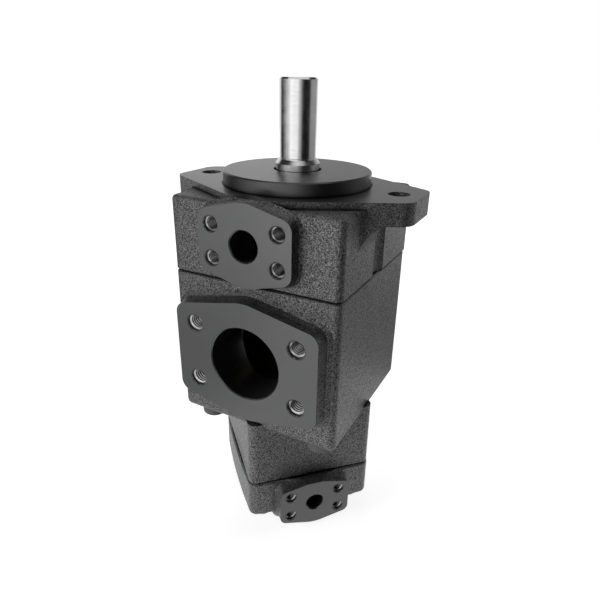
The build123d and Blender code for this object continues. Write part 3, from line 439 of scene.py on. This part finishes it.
def casting_finish(name, pad, bore, inside, above):
    """Rough painted casting with a machined pad, flange and bore, an oiled inside, and painted shade in
    corners and seams.
    """
    look = bpy.context.scene.pump_castings
    work = Finish(name)
    work.shader.inputs["Specular IOR Level"].default_value = look.gloss
    oiled = work.maths("MAXIMUM", work.in_bore(*bore), work.inside(*inside))
    unoiled = work.maths("SUBTRACT", 1.0, oiled)
    turned = work.maths("MULTIPLY", work.maths("GREATER_THAN", work.along(UP), above), unoiled)
    machined = work.maths("MAXIMUM", work.maths("MULTIPLY", work.on_plane(*pad), unoiled), turned)
    rough = work.maths("SUBTRACT", unoiled, machined)
    grain = work.noise(look.grain, 2.0, 0.6)
    fine = work.noise(look.grain / 2, 2.0, 0.6)
    swell = work.noise(SWELL, 2.0, 0.5)
    patches = work.noise(PATCHES, 3.0, 0.6)
    # Partly the grain's own tone, partly painted shade: the pits turn near-black and metallic, so they
    # mirror little.
    pits = work.between(grain, 0.48, 0.38, 0.0, look.pit_share)
    specks = work.maths("MULTIPLY", work.between(fine, 0.52, 0.60), work.between(grain, 0.48, 0.56))
    # Painted shade: closed-in corners and seam grooves turn near-black and metallic, so they also mirror
    # little.
    corners = work.between(work.openness(look.corner_shade_reach), 0.80, 0.30)
    corners = work.maths("MAXIMUM", corners, work.between(work.openness(look.seam_shade_reach), 0.88, 0.60))
    paint = work.mixed(work.between(patches, 0.35, 0.7, 0.0, 0.30), look.paint, look.hollow)
    paint = work.mixed(specks, work.mixed(pits, paint, look.hollow), look.speck)
    dull_turned = work.maths("MULTIPLY", turned, look.turned_dullness)
    metallic = work.maths("MULTIPLY_ADD", work.maths("MAXIMUM", pits, specks), rough, dull_turned)
    metallic = work.maths("MAXIMUM", metallic, work.maths("MULTIPLY", corners, unoiled))
    work.feed(work.shader.inputs["Metallic"], metallic)
    smooth = work.noise(TOOL_MARKS, 2.0, 0.5)
    flat = work.mixed(turned, look.machined, look.turned)
    flat = work.mixed(work.between(smooth, 0.3, 0.7, 0.0, 0.12), flat, look.hollow)
    tint = work.mixed(corners, work.mixed(machined, paint, flat), look.painted_shade)
    tint = work.mixed(oiled, tint, look.oiled)
    painted = work.spread(grain, look.paint_roughness, 0.10, -0.06)
    milled = work.spread(smooth, look.machined_roughness, -0.03, 0.05)
    roughness = work.maths("MULTIPLY", rough, painted)
    roughness = work.maths("MULTIPLY_ADD", machined, milled, roughness)
    roughness = work.maths("MULTIPLY_ADD", oiled, look.oiled_roughness, roughness)
    normal = work.bump(work.maths("MULTIPLY", swell, rough), SWELL_DEPTH * look.grain_depth)
    normal = work.bump(work.maths("MULTIPLY", grain, rough), look.grain_depth, normal)
    normal = work.bump(work.maths("MULTIPLY", fine, rough), FINE_DEPTH * look.grain_depth, normal)
    normal = work.bump(work.maths("MULTIPLY", smooth, machined), MILLING_DEPTH, normal)
    return work.finish(tint, roughness, normal)


def toned(base_colour, factor):
    """A colour made darker or lighter by a factor."""
    return tuple(min(1.0, factor * channel) for channel in base_colour)


def ground_steel(name, base_colour, roughness, width):
    """Steel with fine marks round its axis, left by grinding."""
    work = Finish(name, metallic=1.0)
    round_axis = work.stretched((0.04, 0.04, 1.0))
    marks = work.noise(width, 4.0, 0.7, round_axis)
    haze = work.noise(HAZE, 3.0, 0.6)
    darker = toned(base_colour, 0.82)
    tint = work.mixed(work.between(marks, 0.3, 0.7, 0.0, 0.7), base_colour, darker)
    spread = work.spread(haze, roughness, -0.03, 0.05)
    spread = work.maths("MULTIPLY_ADD", work.between(marks, 0.35, 0.65), 0.05, spread)
    return work.finish(tint, spread, work.bump(marks, GRINDING_DEPTH))


def dull_metal(name, base_colour, roughness, grain, metallic=1.0):
    """Metal with a fine even grain."""
    work = Finish(name, metallic=metallic)
    speckle = work.noise(grain, 3.0, 0.6)
    patches = work.noise(12 * grain, 2.0, 0.5)
    darker = toned(base_colour, 0.7)
    tint = work.mixed(work.between(speckle, 0.3, 0.7, 0.0, 0.6), base_colour, darker)
    tint = work.mixed(work.between(patches, 0.4, 0.7, 0.0, 0.3), tint, darker)
    spread = work.spread(patches, roughness, -0.05, 0.08)
    return work.finish(tint, spread, work.bump(speckle, METAL_DEPTH))


def moulded(name, base_colour, roughness, grain):
    """Rubber or plastic with a fine moulded grain."""
    work = Finish(name)
    speckle = work.noise(grain, 3.0, 0.6)
    lighter = toned(base_colour, 1.3)
    tint = work.mixed(work.between(speckle, 0.35, 0.65), base_colour, lighter)
    spread = work.spread(speckle, roughness, -0.06, 0.06)
    return work.finish(tint, spread, work.bump(speckle, MOULD_DEPTH))


def pad_point(mount, pad):
    """The point of a mount's axis that lies in its port pad's face."""
    axis, place = Vector(mount["axis"]), Vector(mount["pos_m"])
    return place + (pad - place.dot(axis)) * axis


class PUMP_OT_castings(bpy.types.Operator):
    """Paints the castings and finishes their machined faces"""

    bl_idname = "pump.castings"
    bl_label = "Castings"

    def execute(self, context):
        look = context.scene.pump_castings
        for node, port, pad, cavity in (
            ("front_housing", "discharge_bore", look.discharge_pad, look.front_cavity),
            ("centre_body", "suction_bore", look.suction_pad, look.chamber),
            ("rear_cover", "rear_discharge_bore", look.rear_pad, look.cover_cavity),
        ):
            mount = mounts[port]
            bore = (pad_point(mount, pad), mount["axis"], mount["dims"]["r_mm"] * MM, pad)
            low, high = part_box(node)
            inside = (cavity, low[2] + look.skin, min(high[2], FLANGE_FACE) - look.skin)
            finish = casting_finish(node + "_paint", (mount["axis"], pad), bore, inside, FLANGE_FACE)
            dress([node], finish)
        return {"FINISHED"}


class PUMP_OT_shaft(bpy.types.Operator):
    """Gives the shaft and its key their ground steel"""

    bl_idname = "pump.shaft"
    bl_label = "Shaft"

    def execute(self, context):
        look = context.scene.pump_shaft
        dress(["drive_shaft"], ground_steel("shaft_steel", look.steel, look.roughness, look.grinding))
        dress(["shaft_key"], dull_metal("key_steel", look.steel, look.roughness + 0.15, 0.4 * MM))
        return {"FINISHED"}


def screw_heads(name):
    """Lowest point and radius of each head in a node of screws, from its own mesh."""
    mesh = bmesh.new()
    mesh.from_mesh(nodes[name].data)
    bmesh.ops.remove_doubles(mesh, verts=mesh.verts, dist=WELD)
    heads = []
    left = set(mesh.verts)
    while left:
        island, edge = set(), {left.pop()}
        while edge:
            island |= edge
            edge = {e.other_vert(v) for v in edge for e in v.link_edges} - island
        left -= island
        low = [min(v.co[i] for v in island) for i in range(3)]
        high = [max(v.co[i] for v in island) for i in range(3)]
        centre = [(a + b) / 2 for a, b in zip(low, high)]
        heads.append((Vector((centre[0], centre[1], low[2])), (high[0] - low[0]) / 2))
    mesh.free()
    return heads


def knurled_band(mesh, place, radius, height, look):
    """A ring of upright ridges round a screw head, up from the head's lowest point."""
    rings = []
    for size in (radius, radius - 2 * look.knurl_depth):
        rings.append(bmesh.ops.create_circle(mesh, segments=2 * look.knurls, radius=size)["verts"])
    for vert in rings[0][::2]:
        vert.co *= (radius + look.knurl_depth) / radius
    verts = rings[0] + rings[1]
    edges = list({edge for vert in verts for edge in vert.link_edges})
    faces = bmesh.ops.bridge_loops(mesh, edges=edges)["faces"]
    grown = bmesh.ops.extrude_face_region(mesh, geom=faces)["geom"]
    upper = [item for item in grown if isinstance(item, bmesh.types.BMVert)]
    rise = height - 2 * look.knurl_margin
    bmesh.ops.translate(mesh, vec=(0, 0, rise), verts=upper)
    bmesh.ops.translate(mesh, vec=place + Vector((0, 0, look.knurl_margin)), verts=verts + upper)


class PUMP_OT_screws(bpy.types.Operator):
    """Finishes the screws and cuts the knurls of those that show"""

    bl_idname = "pump.screws"
    bl_label = "Screws"

    def execute(self, context):
        look = context.scene.pump_screws
        steel = dull_metal("screw_steel", look.steel, look.roughness, 0.3 * MM, metallic=0.6)
        dress(named("", "_screws"), steel)
        for name in ("housing_screws", "rear_cover_screws"):
            mesh = bmesh.new()
            for place, radius in screw_heads(name):
                knurled_band(mesh, place, radius, radius / HEAD_PROPORTION, look)
            bmesh.ops.recalc_face_normals(mesh, faces=mesh.faces)
            add_piece(name.replace("screws", "knurls"), mesh, "housing", steel)
        return {"FINISHED"}


def hole_mouths(prefix, pad):
    """Mouth, axis and radius of a port's four threaded holes, from the mounts and the pad's distance."""
    pattern = mounts.get(prefix + "_bolts")
    if pattern:
        dims = pattern["dims"]
        half_x, half_z = dims["spacing_x_mm"] * MM / 2, dims["spacing_y_mm"] * MM / 2
        centre = pad_point(pattern, pad)
        steps = [(x, z) for x in (-half_x, half_x) for z in (-half_z, half_z)]
        return [(centre + Vector((x, 0, z)), pattern["axis"], dims["hole_r_mm"] * MM) for x, z in steps]
    single = [mount for name, mount in mounts.items() if name.startswith(prefix + "_bolt_")]
    return [(pad_point(mount, pad), mount["axis"], mount["dims"]["r_mm"] * MM) for mount in single]


def cut_iron(look):
    """Cut iron with bright crests and painted shade between them."""
    work = Finish("cut_iron", metallic=1.0)
    scratches = work.noise(TOOL_MARKS, 3.0, 0.6)
    # Painted shade: the closed-in roots between the crests turn near-black.
    crests = work.between(work.openness(look.reach), 0.70, 0.95)
    tint = work.mixed(crests, look.root, look.crest)
    spread = work.spread(scratches, look.roughness, -0.05, 0.05)
    return work.finish(tint, spread, work.bump(scratches, METAL_DEPTH))


def cut_thread(mesh, mouth, axis, radius, pitch, depth, lead_in):
    """The ridge of an inner thread: a triangle carried down a hole along a helix."""
    foot, minor = radius + THREAD_FOOT, radius - THREAD_HEIGHT * pitch
    crest = pitch / 8
    outline = [
        (foot, 0.02 * pitch),
        (minor, pitch / 2 - crest / 2),
        (minor, pitch / 2 + crest / 2),
        (foot, 0.98 * pitch),
    ]
    turns = (depth - lead_in - pitch) / pitch
    steps = round(turns * THREAD_STEPS)
    before = set(mesh.verts)
    profile = [mesh.verts.new((x, 0, -lead_in - z)) for x, z in outline]
    face = mesh.faces.new(profile)
    swept(mesh, [face, *face.edges, *face.verts], 2 * pi * turns, steps, pitch * turns / steps)
    fresh = [v for v in mesh.verts if v not in before]
    bmesh.ops.transform(mesh, matrix=Matrix.Translation(mouth) @ facing(axis), verts=fresh)


class PUMP_OT_threads(bpy.types.Operator):
    """Cuts the threads in the three port pads"""

    bl_idname = "pump.threads"
    bl_label = "Threads"

    def execute(self, context):
        look = context.scene.pump_threads
        iron = cut_iron(look)
        for port in ("discharge", "suction", "rear"):
            mesh = bmesh.new()
            pad = getattr(context.scene.pump_castings, port + "_pad")
            pitch = getattr(look, port + "_pitch")
            depth = getattr(look, port + "_depth")
            for mouth, axis, radius in hole_mouths(port, pad):
                cut_thread(mesh, mouth, axis, radius, pitch, depth, look.lead_in)
            bmesh.ops.recalc_face_normals(mesh, faces=mesh.faces)
            add_piece(port + "_threads", mesh, "housing", iron)
        return {"FINISHED"}


class PUMP_OT_bearing(bpy.types.Operator):
    """Finishes the bearing, its cage and the rings that hold it"""

    bl_idname = "pump.bearing"
    bl_label = "Bearing"

    def execute(self, context):
        look = context.scene.pump_inside
        races = ["bearing_outer_race", "bearing_inner_race", "bearing_balls"]
        dress(races, ground_steel("race_steel", look.race_steel, 0.12, 0.3 * MM))
        dress(["bearing_cage"], moulded("cage_plastic", look.cage, 0.5, 0.6 * MM))
        rings = ["bearing_circlip", "shaft_snap_ring", "shaft_seal_case", "shaft_seal_spring"]
        dress(rings, dull_metal("spring_steel", look.spring_steel, 0.36, 0.4 * MM))
        return {"FINISHED"}


class PUMP_OT_cartridges(bpy.types.Operator):
    """Finishes the two pumping cartridges, their vanes and pins"""

    bl_idname = "pump.cartridges"
    bl_label = "Cartridges"

    def execute(self, context):
        look = context.scene.pump_inside
        hardened = ground_steel("hardened_steel", look.ring_steel, 0.22, 0.4 * MM)
        turning = [*named("", "_cam_ring"), *named("", "_rotor"), *named("", "_dowel_pins")]
        dress([*turning, *named("large_vane_"), *named("small_vane_")], hardened)
        bronze = ground_steel("bronze", look.bronze, 0.28, 0.5 * MM)
        dress([*named("", "_side_plate"), "rear_bush"], bronze)
        return {"FINISHED"}


class PUMP_OT_seals(bpy.types.Operator):
    """Gives the rubber seals their finish"""

    bl_idname = "pump.seals"
    bl_label = "Seals"

    def execute(self, context):
        look = context.scene.pump_inside
        dress([*named("", "_seal"), "shaft_seal_lip"], moulded("rubber", look.rubber, 0.45, 0.5 * MM))
        return {"FINISHED"}


def softbox(name, place, target, watts):
    """A soft square light that looks at a target."""
    data = bpy.data.lights.new(name, "AREA")
    data.shape = "SQUARE"
    data.size = LAMP_SIZE
    data.energy = watts
    light = bpy.data.objects.new(name, data)
    light.location = place
    light.rotation_euler = (Vector(target) - Vector(place)).to_track_quat("-Z", "Y").to_euler()
    light.visible_camera = False
    bpy.context.scene.collection.objects.link(light)


def picture_ray(work):
    """1 for rays that show the surface in the picture or in a reflection."""
    path = work.node("LightPath")
    seen = work.maths("MAXIMUM", path.outputs["Is Camera Ray"], path.outputs["Is Glossy Ray"])
    return work.maths("MAXIMUM", seen, path.outputs["Is Transmission Ray"])


def floor_finish(look):
    """Pale floor that shows white in the picture and keeps the pump's shadow."""
    work = Finish("pale_floor")
    patches = work.between(work.noise(FLOOR_PATCHES, 2.0, 0.5), 0.3, 0.7, 0.0, 0.3)
    tint = work.mixed(patches, look.floor, look.floor_patch)
    distance = work.size_of(work.place)
    glow = work.between(distance, look.glow_start, look.glow_end, look.floor_glow, 1.0)
    work.shader.inputs["Emission Color"].default_value = WHITE
    work.feed(work.shader.inputs["Emission Strength"], work.maths("MULTIPLY", picture_ray(work), glow))
    return work.finish(tint, look.floor_roughness)


def white_world(look):
    """White surroundings in the picture, and a weaker light on the pump that fades upwards."""
    world = bpy.data.worlds.new("studio")
    bpy.context.scene.world = world
    world.use_nodes = True
    work = Wiring(world.node_tree)
    split = work.node("SeparateXYZ")
    work.feed(split.inputs[0], work.node("TexCoord").outputs["Generated"])
    fill = work.between(split.outputs["Z"], look.fill_low, look.fill_high, look.fill, 0.0, "LINEAR")
    strength = work.between(picture_ray(work), 0.0, 1.0, fill, 1.0, "LINEAR")
    background = world.node_tree.nodes["Background"]
    background.inputs["Color"].default_value = WHITE
    work.feed(background.inputs["Strength"], strength)


def cloth(name, mesh, glow):
    """A matt black sheet that glows for reflections only, a painted reflection, and how bright it glows.
    """
    work = Finish(name + "_cloth")
    work.shader.inputs["Emission Color"].default_value = WHITE
    work.shader.inputs["Emission Strength"].default_value = glow
    work.shader.inputs["Specular IOR Level"].default_value = 0.0
    card = placed(name, mesh, work.finish((0, 0, 0), 1.0))
    card.visible_camera = False
    card.visible_diffuse = False
    card.visible_shadow = False
    card.visible_transmission = False
    card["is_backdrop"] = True


def card(name, start, end, glow, outline):
    """A card swept round the pump between two azimuths, in degrees from -Y towards +X.

    Its outline is a row of radii and heights.
    """
    mesh = bmesh.new()
    verts = [mesh.verts.new((0, -radius, height)) for radius, height in outline]
    edges = [mesh.edges.new(pair) for pair in zip(verts, verts[1:])]
    bmesh.ops.rotate(mesh, verts=verts, cent=(0, 0, 0), matrix=Matrix.Rotation(radians(start), 3, "Z"))
    swept(mesh, [*edges, *verts], radians(end - start), CARD_STEPS)
    cloth(name, mesh, glow)


def lay_floor(look, lowest):
    """The round floor, just under the pump's lowest point."""
    mesh = bmesh.new()
    bmesh.ops.create_circle(mesh, cap_ends=True, segments=96, radius=look.floor_radius)
    bmesh.ops.translate(mesh, vec=(0, 0, lowest - FLOOR_GAP), verts=mesh.verts)
    floor = placed("floor", mesh, floor_finish(look))
    floor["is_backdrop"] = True


def hang_cards(look, lowest):
    """The glowing cards and cloths round the pump that give its faces their reflections: painted
    reflections, not lamps.
    """
    foot = (look.card_foot, lowest + look.card_lift)
    bend = (look.card_radius, lowest + look.card_lift)
    sill = (look.card_radius, look.card_sill)
    hem = (look.card_radius, look.card_hem)
    top = (look.card_radius, look.card_top)
    edge = (look.ceiling_radius, look.ceiling)
    window = (look.ceiling_window, look.ceiling)
    # Each card glows at its own strength, for reflections only: painted reflections, bright and dark.
    for name, start, end, glow, outline in (
        ("left_flag", -100, -66, 0.04, (foot, bend, top)),
        ("left_card", -66, -50, 0.14, (foot, bend, top)),
        ("left_pale_card", -50, -33, 0.32, (sill, top)),
        ("front_low_card", -50, -25, 0.52, (foot, bend, sill)),
        ("front_pale_card", -33, -22, 0.75, (sill, top)),
        ("front_card", -22, 28, 1.45, (sill, top)),
        ("right_pale_card", 28, 38, 0.80, (sill, top)),
        ("right_card", 38, 48, 0.45, (sill, top)),
        ("right_low_card", 28, 48, 0.10, (foot, bend, sill)),
        ("right_dark_card", 48, 56, 0.05, (foot, bend, top)),
        ("right_flag", 56, 102, 0.006, (foot, bend, top)),
        ("right_grey_card", 102, 166, 0.27, (foot, bend, top)),
        ("right_floor_cloth", 166, 190, 0.25, (foot, bend)),
        ("left_floor_cloth", 200, 270, 0.28, (foot, bend)),
        ("back_card", 165, 207, 0.55, (hem, top)),
        ("ceiling_cloth", 0, 360, 0.02, (window, edge)),
    ):
        card(name, start, end, glow, outline)


def aim_camera(look):
    """The scene's camera, at the photo's viewpoint."""
    data = bpy.data.cameras.new("camera")
    data.lens = look.lens
    data.sensor_width = 36.0
    data.clip_start, data.clip_end = 0.01, 20.0
    camera = bpy.data.objects.new("camera", data)
    turn = Matrix.Rotation(look.azimuth, 4, "Z") @ Matrix.Rotation(radians(90) - look.pitch, 4, "X")
    turn = turn @ Matrix.Rotation(look.roll, 4, "Z")
    camera.matrix_world = Matrix.Translation(look.camera_place) @ turn
    bpy.context.scene.collection.objects.link(camera)
    bpy.context.scene.camera = camera


class PUMP_OT_stage(bpy.types.Operator):
    """Sets the camera, the pale floor, the soft lights and the white surroundings"""

    bl_idname = "pump.stage"
    bl_label = "Stage"

    def execute(self, context):
        look = context.scene.pump_stage
        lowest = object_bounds()[0].z
        lay_floor(look, lowest)
        white_world(look)
        middle = (0, 0, -0.1)
        softbox("front_light", (-0.84, -1.00, 0.15), middle, 16)
        softbox("side_light", (1.00, 0.84, 0.15), middle, 10)
        softbox("top_light", (-0.6, 0.8, 1.1), middle, 5)
        hang_cards(look, lowest)
        aim_camera(look)
        context.scene.view_settings.view_transform = "Standard"
        return {"FINISHED"}


STEPS = (
    PUMP_OT_castings,
    PUMP_OT_shaft,
    PUMP_OT_screws,
    PUMP_OT_threads,
    PUMP_OT_bearing,
    PUMP_OT_cartridges,
    PUMP_OT_seals,
    PUMP_OT_stage,
)
LOOKS = {
    "pump_castings": PumpCastings,
    "pump_shaft": PumpShaft,
    "pump_screws": PumpScrews,
    "pump_threads": PumpThreads,
    "pump_inside": PumpInside,
    "pump_stage": PumpStage,
}


class PUMP_PT_looks(bpy.types.Panel):
    """Lists the pump's pieces and their sizes and colours"""

    bl_idname = "PUMP_PT_looks"
    bl_label = "Vane Pump"
    bl_space_type = "VIEW_3D"
    bl_region_type = "UI"
    bl_category = "Vane Pump"

    def draw(self, context):
        for step in STEPS:
            self.layout.operator(step.bl_idname)
        for name, group in LOOKS.items():
            box = self.layout.box()
            box.label(text=group.__name__)
            for value in group.__annotations__:
                box.prop(getattr(context.scene, name), value)


def register():
    """Registers the groups, operators and panel, and hangs the groups on the scene."""
    for group in (*LOOKS.values(), *STEPS, PUMP_PT_looks):
        bpy.utils.register_class(group)
    for name, group in LOOKS.items():
        setattr(bpy.types.Scene, name, bpy.props.PointerProperty(type=group))


def unregister():
    """Takes away everything that register adds."""
    for name in LOOKS:
        delattr(bpy.types.Scene, name)
    for group in (PUMP_PT_looks, *STEPS, *LOOKS.values()):
        bpy.utils.unregister_class(group)


def main():
    """Runs every step in order."""
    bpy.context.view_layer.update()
    register()
    bpy.ops.pump.castings()
    bpy.ops.pump.shaft()
    bpy.ops.pump.screws()
    bpy.ops.pump.threads()
    bpy.ops.pump.bearing()
    bpy.ops.pump.cartridges()
    bpy.ops.pump.seals()
    bpy.ops.pump.stage()


if __name__ == "__main__":
    main()
